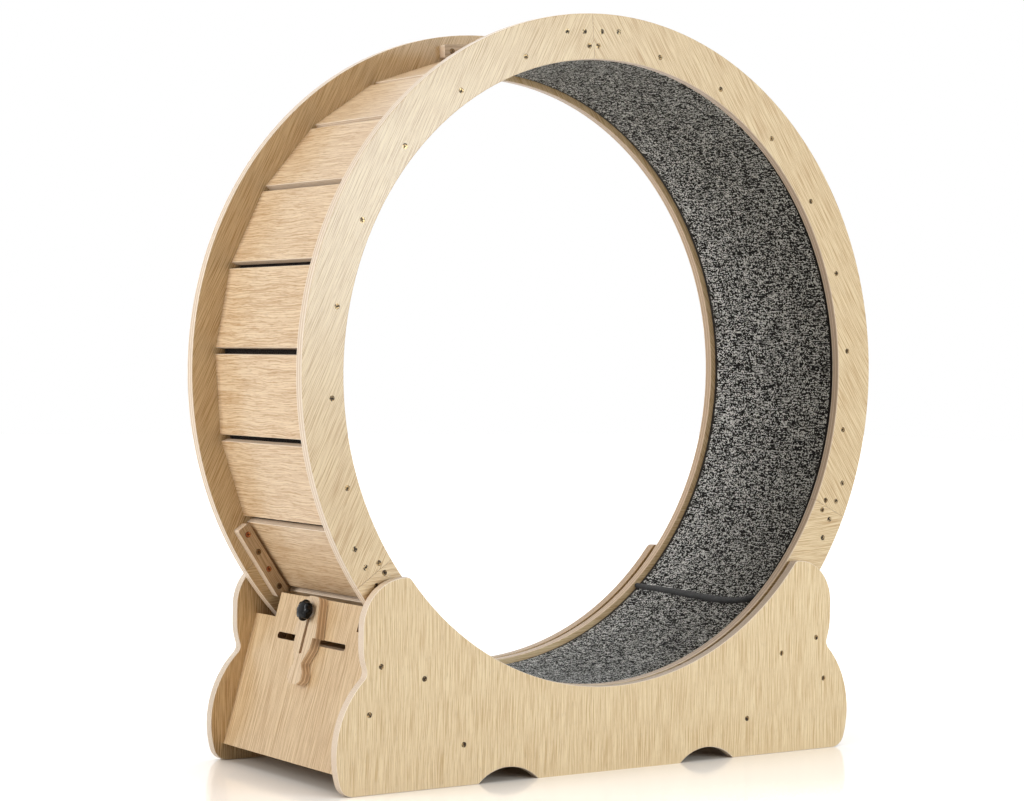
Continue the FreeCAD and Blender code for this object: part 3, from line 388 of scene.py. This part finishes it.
# How far from the runner's edge each dark band of tape and painted shade starts
# and is whole.
REAR_TAPE_AND_SHADE = (0.0075, 0.0065)
FRONT_TAPE_AND_SHADE = (0.0145, 0.014)
TAPE_AND_SHADE_DARK = colour(14, 10, 8)
TAPE_AND_SHADE_PALE = colour(44, 36, 30)
BACKING_BLEND = 0.0002
carpet, tree, surface = new_material("grey_loop_carpet")
laid = add_node(tree, "ShaderNodeUVMap", uv_map=runner.data.uv_layers.active.name).outputs[0]
sway = add_node(tree, "ShaderNodeTexNoise", {"Vector": laid, "Scale": 40.0, "Detail": 1.0}).outputs[1]
swayed = vector_node(tree, "MULTIPLY_ADD", sway, (LOOP_SWAY, LOOP_SWAY, 0.0), laid)
loops = add_node(tree, "ShaderNodeTexVoronoi", {
    "Vector": vector_node(tree, "MULTIPLY", swayed, LOOPS_A_METRE), "Scale": 1.0, "Randomness": 0.5},
    voronoi_dimensions="2D")
yarn = add_node(tree, "ShaderNodeSeparateColor", {0: loops.outputs["Color"]}).outputs[0]
rows = noise_node(tree, swayed, (520.0, 44.0, 1.0), 1.0)
run = noise_node(tree, laid, (60.0, 150.0, 1.0), 2.0, 0.6)
blotch = noise_node(tree, laid, (24.0, 36.0, 1.0), 2.0)
shade = add_patterns(tree, yarn, [(rows, 1.8), (run, 0.75), (blotch, 0.4)])
heather = add_node(tree, "ShaderNodeValToRGB", {0: shade})
stops = heather.color_ramp.elements
stops[0].position = 0.33
stops[0].color = colour(2, 2, 2)
stops[1].position = 0.82
stops[1].color = colour(254, 255, 253)
stops.new(0.54).color = colour(50, 51, 51)
stops.new(0.66).color = colour(212, 213, 210)
# Painted shade: the gaps between the loops are nearly black.
crown = ramp(tree, loops.outputs["Distance"], 0.4, 0.8, 1.0, 0.0)
pile_colour = mix_colours(tree, crown, GAP_SHADE_COLOUR, heather.outputs[0])
across = add_node(tree, "ShaderNodeSeparateXYZ", {0: laid}).outputs["Y"]
# Dark bands along both edges: tape, and painted shade where the carpet meets the rings.
tape_and_shade = math_node(tree, "MAXIMUM",
                 ramp(tree, across, *(RUNNER_HALF_WIDTH - width for width in REAR_TAPE_AND_SHADE)),
                 ramp(tree, across, *(width - RUNNER_HALF_WIDTH for width in FRONT_TAPE_AND_SHADE)))
weave = noise_node(tree, laid, (900.0, 900.0, 1.0), 2.0)
tape_and_shade_colour = mix_colours(tree, weave, TAPE_AND_SHADE_DARK, TAPE_AND_SHADE_PALE)
# The runner's back takes the dark colour: painted shade in the gaps between the slats.
level = vector_node(tree, "MULTIPLY", from_axle(tree, object_place(tree)), (1.0, 0.0, 1.0))
halfway = (RUNNER_PILE + RUNNER_BACK) / 2
backing = ramp(tree, vector_node(tree, "LENGTH", level), halfway - BACKING_BLEND, halfway + BACKING_BLEND)
covered = mix_colours(tree, tape_and_shade, pile_colour, tape_and_shade_colour)
tree.links.new(mix_colours(tree, backing, covered, tape_and_shade_colour), surface.inputs["Base Color"])
surface.inputs["Roughness"].default_value = 0.9
surface.inputs["Specular IOR Level"].default_value = 0.05
surface.inputs["Sheen Weight"].default_value = 0.15
pile = math_node(tree, "MULTIPLY", crown, math_node(tree, "SUBTRACT", 1.0, tape_and_shade))
add_bump(tree, pile, 0.9, LOOP_HEIGHT)
paint([runner], carpet)

# The binding over the seam: a fold of charcoal tape, a little crooked, whose
# front end turns up at the ring.  Each row is a distance across the drum with
# the angles of the band's lower and upper edge there.
BINDING = [
    (0.1540, 310.62, 311.75), (0.121, 310.41, 311.7), (0.085, 310.37, 311.7), (0.039, 310.18, 311.6),
    (0.000, 309.95, 311.45), (-0.030, 309.8, 311.33), (-0.065, 309.6, 311.28), (-0.093, 309.8, 311.35),
    (-0.115, 310.2, 311.75), (-0.128, 310.6, 312.2), (-0.140, 311.2, 312.7), (-0.1535, 312.0, 313.3),
]
BINDING_HEIGHT = 0.0052
BINDING_SINK = 0.002
BINDING_FULLNESS = 0.7
BINDING_GIRTH = 0.02
STEPS_A_ROW = 6
ROUND_STEPS = 12
bpy.ops.mesh.primitive_grid_add(x_subdivisions=(len(BINDING) - 1) * STEPS_A_ROW,
                                y_subdivisions=ROUND_STEPS, size=1.0)
binding = bpy.context.object
binding.name = "seam_binding"


def binding_edges(share):
    """Where the band's edges are, this share of the way from back to front."""
    reach = share * (len(BINDING) - 1)
    row = min(int(reach), len(BINDING) - 2)
    part = reach - row
    part = part * part * (3 - 2 * part)
    return [first + (second - first) * part for first, second in zip(BINDING[row], BINDING[row + 1])]


layout = binding.data.uv_layers.active.data
flat = [vertex.co.copy() for vertex in binding.data.vertices]
for loop in binding.data.loops:
    point = flat[loop.vertex_index]
    layout[loop.index].uv = (point.x * 2 * RUNNER_HALF_WIDTH, point.y * BINDING_GIRTH)
for vertex, point in zip(binding.data.vertices, flat):
    across, low, high = binding_edges(point.x + 0.5)
    turn = math.pi * (point.y + 0.5)
    angle = math.radians((low + high) / 2 - (high - low) / 2 * math.cos(turn))
    lift = -BINDING_SINK + (BINDING_HEIGHT + BINDING_SINK) * math.sin(turn) ** BINDING_FULLNESS
    vertex.co = in_drum(angle, across, RUNNER_PILE - lift)
bpy.ops.object.mode_set(mode="EDIT")
bpy.ops.mesh.select_all(action="SELECT")
bpy.ops.mesh.region_to_loop()
bpy.ops.mesh.edge_face_add()
bpy.ops.mesh.select_all(action="SELECT")
bpy.ops.mesh.normals_make_consistent(inside=False)
bpy.ops.object.mode_set(mode="OBJECT")
bpy.ops.object.shade_smooth_by_angle(angle=math.radians(50))
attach(binding, "drum")

charcoal, tree, surface = new_material("charcoal_binding")
laid = add_node(tree, "ShaderNodeUVMap", uv_map=binding.data.uv_layers.active.name).outputs[0]
threads = add_node(tree, "ShaderNodeTexWave", {
    "Vector": laid, "Scale": 420.0, "Distortion": 1.5, "Detail": 1.0})
fuzz = noise_node(tree, laid, (260.0, 260.0, 1.0), 3.0)
tree.links.new(mix_colours(tree, fuzz, colour(18, 18, 20), colour(44, 45, 48)), surface.inputs["Base Color"])
surface.inputs["Roughness"].default_value = 0.75
surface.inputs["Sheen Weight"].default_value = 0.2
add_bump(tree, threads.outputs[1], 0.5, 0.0004)
paint([binding], charcoal)

# ----------------------------------------------------------------- the screws
# Countersunk cross-head wood screws of yellow-passivated steel, set just below
# the wood.  Dirt and painted shade darken all but the heads' faces, so the cross
# recesses are dark, and random bright and dull patches on the heads are partly
# painted highlights.
DIRT_AND_SHADE = colour(20, 14, 9)
DIRT_AND_SHADE_BLEND = 0.0005


def plated(name, bright, dull, clean_and_lit, roughness=0.34):
    """Plated steel, dark with dirt and painted shade except between two distances from the middle."""
    material, tree, surface = new_material(name)
    place = object_place(tree)
    patchy = noise_node(tree, place, (300.0, 60.0, 300.0), 1.0)
    # Random bright and dull patches, partly painted highlights on the heads.
    metal = mix_colours(tree, ramp(tree, patchy, 0.36, 0.6), bright, dull)
    split = add_node(tree, "ShaderNodeSeparateXYZ", {0: place})
    distance = math_node(tree, "ABSOLUTE", split.outputs["Y"])
    low, high = clean_and_lit
    # Dirt and painted shade outside the heads' faces.
    dirt_and_shade = math_node(tree, "MAXIMUM", ramp(tree, distance, low - DIRT_AND_SHADE_BLEND, low, 1.0, 0.0),
                      ramp(tree, distance, high, high + DIRT_AND_SHADE_BLEND))
    tree.links.new(mix_colours(tree, math_node(tree, "MULTIPLY", dirt_and_shade, 0.95), metal, DIRT_AND_SHADE),
                   surface.inputs["Base Color"])
    surface.inputs["Metallic"].default_value = 0.7
    tree.links.new(ramp(tree, patchy, 0.2, 0.8, roughness - 0.08, roughness + 0.12),
                   surface.inputs["Roughness"])
    return material


ZINC_BRIGHT = colour(164, 134, 92)
ZINC_DULL = colour(54, 40, 26)
SPLICE_ZINC_BRIGHT = colour(176, 150, 112)
SPLICE_ZINC_DULL = colour(34, 25, 17)
RING_HEADS = (0.1695, 0.171)
PANEL_HEADS = (0.1915, 0.193)
paint([nodes["slat_screws"]], plated("slat_screw_zinc", ZINC_BRIGHT, ZINC_DULL, RING_HEADS))
paint([nodes["splice_screws"]],
      plated("splice_screw_zinc", SPLICE_ZINC_BRIGHT, SPLICE_ZINC_DULL, RING_HEADS))
paint([nodes["panel_screws"]], plated("panel_screw_zinc", ZINC_BRIGHT, ZINC_DULL, PANEL_HEADS))

# ------------------------------------------------------------ the sleeve nuts
# Low round-headed sleeve nuts, pressed into the splice plates from inside the
# drum, that take the splice screws.  Every other nut along a plate is duller.
NUT_REACH = 0.522
NUT_SPACING = 0.033
NUT_COUNT_START = 1.7
NUT_HEADS = (0.138, 0.139)
NUT_TARNISH = colour(84, 78, 52)
nut_metal = plated("sleeve_nut_brass", colour(206, 142, 96), colour(150, 84, 50), NUT_HEADS, 0.4)
tree = nut_metal.node_tree
surface = tree.nodes["Principled BSDF"]
brass = surface.inputs["Base Color"].links[0].from_socket
split = add_node(tree, "ShaderNodeSeparateXYZ", {0: object_place(tree)})
above = math_node(tree, "SUBTRACT", split.outputs["Z"], AXLE_HEIGHT)
angle = math_node(tree, "ARCTAN2", above, split.outputs["X"])
count = math_node(tree, "MULTIPLY_ADD", angle, NUT_REACH / NUT_SPACING, NUT_COUNT_START)
other = math_node(tree, "PINGPONG", math_node(tree, "FLOOR", count), 1.0)
tree.links.new(mix_colours(tree, math_node(tree, "MULTIPLY", other, 0.75), brass, NUT_TARNISH),
               surface.inputs["Base Color"])
paint([nodes["splice_sleeve_nuts"]], nut_metal)

# ------------------------------------------------------------ the side panels
# Front and back of the base: 15 mm plywood sawn to feet, waists and rounded
# ears, with upright grain, and cut away round the drum's opening.
PANEL_PALE = colour(237, 213, 171)
PANEL_DEEP = colour(198, 163, 112)
REAR_PANEL_PALE = colour(226, 198, 152)
REAR_PANEL_DEEP = colour(180, 140, 90)
REAR_PANEL_EDGE = (colour(240, 226, 207), colour(206, 184, 158))
# The panels' edges cut round the drum's opening face the axle and take painted shade.
paint([nodes["front_side_panel"]],
      plywood("front_panel_oak", (0, 0, 1), (0, 1, 0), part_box("front_side_panel")[0].y, FINE_PLY,
              PANEL_PALE, PANEL_DEEP, figure=0.3, streak=0.9, cut=(0.0, -0.8), painted_inward_shade=0.45))
# The rear panel's veneer is painted darker than the front panel's as painted shade, and its edges take the
# most painted shade.
paint([nodes["rear_side_panel"]],
      plywood("rear_panel_oak", (0, 0, 1), (0, 1, 0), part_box("rear_side_panel")[0].y, FINE_PLY,
              REAR_PANEL_PALE, REAR_PANEL_DEEP, figure=0.4, streak=1.3, cut=(0.0, 0.7),
              bare=REAR_PANEL_EDGE, painted_inward_shade=0.9))

# ------------------------------------------------------------- the end panels
# Leaning ends between the side panels, each with a tongue that rises between
# the rings and a long vent.  The grain runs up the slope.
END_LEAN = math.radians(15.2)
END_ACROSS = 0.4215
END_HEIGHT = 0.1835
END_PALE = colour(229, 202, 161)
END_DEEP = colour(188, 152, 107)
END_EDGE = (colour(150, 114, 80), colour(98, 70, 46))


def end_panel_axes(sign):
    """The way up an end panel's slope, the way out of it and its sheet's middle."""
    uphill = Vector((-sign * math.sin(END_LEAN), 0, math.cos(END_LEAN)))
    outward = Vector((sign * math.cos(END_LEAN), 0, math.sin(END_LEAN)))
    return uphill, outward, Vector((sign * END_ACROSS, 0, END_HEIGHT))


for hand, sign in (("left", -1), ("right", 1)):
    uphill, outward, middle = end_panel_axes(sign)
    paint([nodes[f"{hand}_end_panel"]],
          plywood(f"{hand}_end_oak", uphill, outward, middle.dot(outward) - SHEET / 2, FINE_PLY,
                  END_PALE, END_DEEP, figure=0.35, streak=0.9, cut=(1.3, 2.2 * sign), bare=END_EDGE))

# ----------------------------------------------------------- the inner boards
# Plain boards that lean out behind the rollers and tie the side panels
# together.  Their grain runs from side to side.
BOARD_LEAN = math.radians(35.3)
for hand, sign in (("left", -1), ("right", 1)):
    outward = Vector((sign * math.cos(BOARD_LEAN), 0, -math.sin(BOARD_LEAN)))
    low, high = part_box(f"{hand}_inner_board")
    middle = (low + high) / 2
    paint([nodes[f"{hand}_inner_board"]],
          plywood(f"{hand}_board_oak", (0, 1, 0), outward, middle.dot(outward) - SHEET / 2, FINE_PLY,
                  PANEL_PALE, PANEL_DEEP, cut=(0.7 * sign, 3.1)))

# ---------------------------------------------------------------- the rollers
# Four grooved wheels of off-white nylon moulded on sealed ball bearings.
NYLON_PALE = colour(236, 235, 230)
NYLON_DULL = colour(214, 212, 204)
NYLON_DEPTH = 0.002
nylon, tree, surface = new_material("off_white_nylon")
place = object_place(tree)
clouds = noise_node(tree, place, (90.0, 90.0, 90.0), 3.0)
tree.links.new(mix_colours(tree, clouds, NYLON_PALE, NYLON_DULL), surface.inputs["Base Color"])
tree.links.new(ramp(tree, clouds, 0.3, 0.7, 0.38, 0.5), surface.inputs["Roughness"])
surface.inputs["Subsurface Weight"].default_value = 0.05
surface.inputs["Subsurface Radius"].default_value = (NYLON_DEPTH, NYLON_DEPTH, NYLON_DEPTH)
grit = noise_node(tree, place, (900.0, 900.0, 900.0), 2.0)
add_bump(tree, grit, 0.2, 0.0002)
paint([nodes[f"{side}_{hand}_roller"] for side in ("front", "rear") for hand in ("left", "right")], nylon)

# ------------------------------------------------ the shafts and what they hold
# Two steel rods between the side panels, with the bearings' inner races and
# tube spacers on them, all turned and bright-plated.
STEEL_BRIGHT = colour(206, 207, 210)
STEEL_DULL = colour(168, 170, 174)
steel, tree, surface = new_material("turned_zinc_steel")
place = object_place(tree)
turning = noise_node(tree, place, (60.0, 2600.0, 60.0), 2.0)
smudge = noise_node(tree, place, (120.0, 120.0, 120.0), 3.0)
tree.links.new(mix_colours(tree, smudge, STEEL_BRIGHT, STEEL_DULL), surface.inputs["Base Color"])
surface.inputs["Metallic"].default_value = 1.0
tree.links.new(ramp(tree, smudge, 0.3, 0.7, 0.22, 0.36), surface.inputs["Roughness"])
add_bump(tree, turning, 0.15, 0.0001)
paint([nodes[name] for name in ("roller_shafts", "bearing_inner_races", "short_spacers", "long_spacers")],
      steel)

# ------------------------------------------------------- the sliding lock plate
# A waisted plywood plate on the left end panel, slotted for the clamp's stud,
# that slides up against the slats to hold the drum still.
SLIDER_INSIDE = 0.0078
SLIDER_PALE = colour(232, 207, 172)
SLIDER_DEEP = colour(194, 160, 120)
SLIDER_EDGE = (colour(250, 226, 196), colour(204, 170, 136))
uphill, outward, end_middle = end_panel_axes(-1)
paint([nodes["lock_slider"]],
      plywood("slider_oak", uphill, outward, end_middle.dot(outward) + SLIDER_INSIDE, RING_PLY,
              SLIDER_PALE, SLIDER_DEEP, cut=(0.4, 0.9), bare=SLIDER_EDGE))

# ------------------------------------------------- the washer, stud and tee nut
# The clamp's plated steel: a washer under the knob, the knob's stud, and the
# tee nut let into the back of the end panel.
paint([nodes["lock_washer"], nodes["lock_stud"], nodes["lock_tee_nut"]], steel)

# ------------------------------------------------------------- the star knob
# A moulded knob of glossy black plastic: eight lobes round a low dome, on a
# short round hub that bears on the washer.
KNOB_LOBES = 8
KNOB_RADIUS = 0.0160
KNOB_HUB_RADIUS = 0.009
KNOB_HUB_HEIGHT = 0.004
KNOB_HUB_BEVEL = 0.0005
POINTS_A_LOBE = 12
# The knob's foot, from the middle of the end panel: up the slope, out and across.
KNOB_UPHILL = 0.0575
KNOB_OUT = 0.0246
KNOB_ACROSS = -0.003
# Each step of the knob's height: the rise, the radius of the lobes' crests and
# how deep the valleys are.
KNOB_STEPS = [
    (0.0, 0.0150, 0.10), (0.0007, 0.0157, 0.14), (0.0012, 0.0162, 0.16), (0.0022, 0.0164, 0.17),
    (0.0022, 0.0163, 0.165), (0.0014, 0.0159, 0.15), (0.0012, 0.0151, 0.13), (0.0010, 0.0139, 0.10),
    (0.0009, 0.0122, 0.07), (0.0008, 0.0101, 0.04), (0.0006, 0.0076, 0.015), (0.0004, 0.0046, 0.0),
    (0.0001, 0.0020, 0.0),
]
SAME_PHASE = 0.01
bpy.ops.object.select_all(action="DESELECT")
bpy.ops.mesh.primitive_circle_add(vertices=KNOB_LOBES * POINTS_A_LOBE, radius=KNOB_RADIUS,
                                  fill_type="NGON", location=(0, 0, KNOB_HUB_HEIGHT))
knob = bpy.context.object
knob.name = "star_knob"
bpy.ops.object.transform_apply(location=True)
middle = Vector((0, 0, KNOB_HUB_HEIGHT))
bpy.ops.object.mode_set(mode="EDIT")
bpy.ops.mesh.select_all(action="SELECT")
mesh = bmesh.from_edit_mesh(knob.data)
for step, (rise, crest, valley) in enumerate(KNOB_STEPS):
    if step:
        bpy.ops.mesh.extrude_region_move(TRANSFORM_OT_translate={"value": (0, 0, rise)})
        middle.z += rise
    outline = [vertex for vertex in mesh.verts if vertex.select]
    for turn in range(POINTS_A_LOBE // 2 + 1):
        phase = math.cos(2 * math.pi * turn / POINTS_A_LOBE)
        swing = (1 - phase) / 2
        bpy.ops.mesh.select_all(action="DESELECT")
        for vertex in outline:
            angle = math.atan2(vertex.co.y, vertex.co.x) * KNOB_LOBES
            if abs(math.cos(angle) - phase) < SAME_PHASE:
                vertex.select_set(True)
                reach = vertex.co.xy.length
        scale = crest * (1 - valley * swing) / reach
        bpy.ops.transform.resize(value=(scale, scale, 1), center_override=middle)
    bpy.ops.mesh.select_all(action="DESELECT")
    for vertex in outline:
        vertex.select_set(True)
    mesh.select_flush(True)
bpy.ops.mesh.select_all(action="SELECT")
bpy.ops.mesh.normals_make_consistent(inside=False)
bpy.ops.object.mode_set(mode="OBJECT")
bpy.ops.mesh.primitive_cylinder_add(vertices=48, radius=KNOB_HUB_RADIUS, depth=KNOB_HUB_HEIGHT,
                                    location=(0, 0, KNOB_HUB_HEIGHT / 2))
hub = bpy.context.object
bpy.ops.object.modifier_add(type="BEVEL")
hub.modifiers["Bevel"].width = KNOB_HUB_BEVEL
hub.modifiers["Bevel"].segments = 3
hub.modifiers["Bevel"].limit_method = "ANGLE"
bpy.ops.object.modifier_apply(modifier="Bevel")
knob.select_set(True)
hub.select_set(True)
bpy.context.view_layer.objects.active = knob
bpy.ops.object.join()
knob.rotation_mode = "QUATERNION"
knob.rotation_quaternion = outward.to_track_quat("Z", "Y")
knob.location = end_middle + KNOB_UPHILL * uphill + KNOB_OUT * outward + Vector((0, KNOB_ACROSS, 0))
bpy.ops.object.transform_apply(location=True, rotation=True)
bpy.ops.object.shade_smooth_by_angle(angle=math.radians(40))
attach(knob, "knob")
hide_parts("lock_knob")

black, tree, surface = new_material("black_knob_plastic")
mottle = noise_node(tree, object_place(tree), (320.0, 320.0, 320.0), 3.0)
tree.links.new(mix_colours(tree, mottle, colour(5, 5, 5), colour(11, 11, 11)), surface.inputs["Base Color"])
tree.links.new(ramp(tree, mottle, 0.3, 0.7, 0.13, 0.19), surface.inputs["Roughness"])
surface.inputs["Specular IOR Level"].default_value = 0.16
add_bump(tree, mottle, 0.05, 0.0001)
paint([knob], black)

# --------------------------------------------------------------- the studio
# A plain glossy floor in a plain world.  Both are white where the camera or a
# reflection sees them, and dimmer as light on the wheel.  The floor keeps the
# wheel's shadow; near the wheel its glow fades, a painted shadow, and its colour
# turns warmer than in the open, painted warm shade.
FLOOR_SIZE = 30.0
FLOOR_GLOW = 0.36
NEAR_FLOOR = (0.95, 0.88, 0.79, 1)
OPEN_FLOOR = (0.97, 0.96, 0.94, 1)
UNSEEN_FLOOR = (0.6, 0.57, 0.52, 1)
WHITE = (1, 1, 1, 1)
SHADOW_REACH = 0.6
# How much open sky a place on the floor sees where its shadow ends, and where
# the open floor starts.
OUT_OF_SHADOW = (0.1, 0.9)
IN_THE_OPEN = (0.92, 1.0)
WORLD_LIGHT = 0.21
WORLD_TINT = (1.0, 0.9, 0.76, 1)


def seen_mask(tree):
    """One where the camera, a reflection or a clear piece sees it, and zero elsewhere."""
    path = add_node(tree, "ShaderNodeLightPath")
    second_hand = math_node(tree, "MAXIMUM", path.outputs["Is Glossy Ray"],
                            path.outputs["Is Transmission Ray"])
    return math_node(tree, "MAXIMUM", path.outputs["Is Camera Ray"], second_hand)


bpy.ops.mesh.primitive_plane_add(size=FLOOR_SIZE)
floor = bpy.context.object
floor.name = "studio_floor"
white, tree, surface = new_material("white_gloss_floor")
surface.inputs["Roughness"].default_value = 0.12
seen = seen_mask(tree)
sky = add_node(tree, "ShaderNodeAmbientOcclusion", {"Distance": SHADOW_REACH}, samples=16).outputs["AO"]
# Painted warm shade: the floor's colour turns warmer near the wheel.
ground = mix_colours(tree, ramp(tree, sky, *IN_THE_OPEN), NEAR_FLOOR, OPEN_FLOOR)
tree.links.new(mix_colours(tree, seen, UNSEEN_FLOOR, ground), surface.inputs["Base Color"])
surface.inputs["Emission Color"].default_value = WHITE
# Painted shadow: the glow fades near the wheel.
glow = math_node(tree, "ADD", ramp(tree, sky, *OUT_OF_SHADOW, 0.0, FLOOR_GLOW),
                 ramp(tree, sky, *IN_THE_OPEN, 0.0, FLOOR_GLOW))
tree.links.new(math_node(tree, "MULTIPLY", seen, glow), surface.inputs["Emission Strength"])
paint([floor], white)

world = bpy.data.worlds.new("studio_white")
bpy.context.scene.world = world
world.use_nodes = True
tree = world.node_tree
seen = seen_mask(tree)
background = tree.nodes["Background"]
tree.links.new(ramp(tree, seen, 0.0, 1.0, WORLD_LIGHT, 1.0), background.inputs["Strength"])
tree.links.new(mix_colours(tree, seen, WORLD_TINT, WHITE), background.inputs["Color"])


def softbox(name, place, aim, width, height, power, tint=(1.0, 1.0, 1.0)):
    """A soft studio lamp that looks at a point."""
    bpy.ops.object.light_add(type="AREA", location=place)
    lamp = bpy.context.object
    lamp.name = name
    lamp.data.shape = "RECTANGLE"
    lamp.data.size = width
    lamp.data.size_y = height
    lamp.data.energy = power
    lamp.data.color = tint
    lamp.rotation_mode = "QUATERNION"
    lamp.rotation_quaternion = (Vector(aim) - Vector(place)).to_track_quat("-Z", "Y")


softbox("front_right_softbox", (1.4, -3.1, 1.15), (0, 0, 0.75), 1.0, 1.0, 42, (0.73, 0.89, 1.0))
softbox("front_fill", (0.1, -5.0, 0.9), (0, 0, 0.6), 2.2, 2.0, 80, (1.0, 0.95, 0.905))
softbox("left_softbox", (-3.8, 0.5, 1.65), (0, 0, 0.6), 1.3, 2.2, 83)
softbox("top_softbox", (0.3, 0.2, 3.6), (0, 0, 0.5), 3.0, 3.0, 43)
softbox("back_fill", (0.4, 5.0, 1.2), (0, 0, 0.6), 2.4, 2.0, 60, (1.0, 0.98, 0.95))

# ---------------------------------------------------------------- the camera
# At the drum's axle height, to the front left.
CAMERA_PLACE = Vector((-2.2484, -3.0457, 0.6119))
CAMERA_AZIMUTH = math.radians(35.663)
CAMERA_ELEVATION = math.radians(-0.743)
CAMERA_ROLL = math.radians(1.109)
CAMERA_LENS = 83.295
CAMERA_FILM = 36.0
bpy.ops.object.camera_add()
camera = bpy.context.object
camera.name = "photo_camera"
camera.data.lens = CAMERA_LENS
camera.data.sensor_width = CAMERA_FILM
camera.matrix_world = (Matrix.Translation(CAMERA_PLACE) @ Matrix.Rotation(-CAMERA_AZIMUTH, 4, "Z")
                       @ Matrix.Rotation(math.pi / 2 + CAMERA_ELEVATION, 4, "X")
                       @ Matrix.Rotation(CAMERA_ROLL, 4, "Z"))
bpy.context.scene.camera = camera
bpy.context.scene.view_settings.view_transform = "Standard"
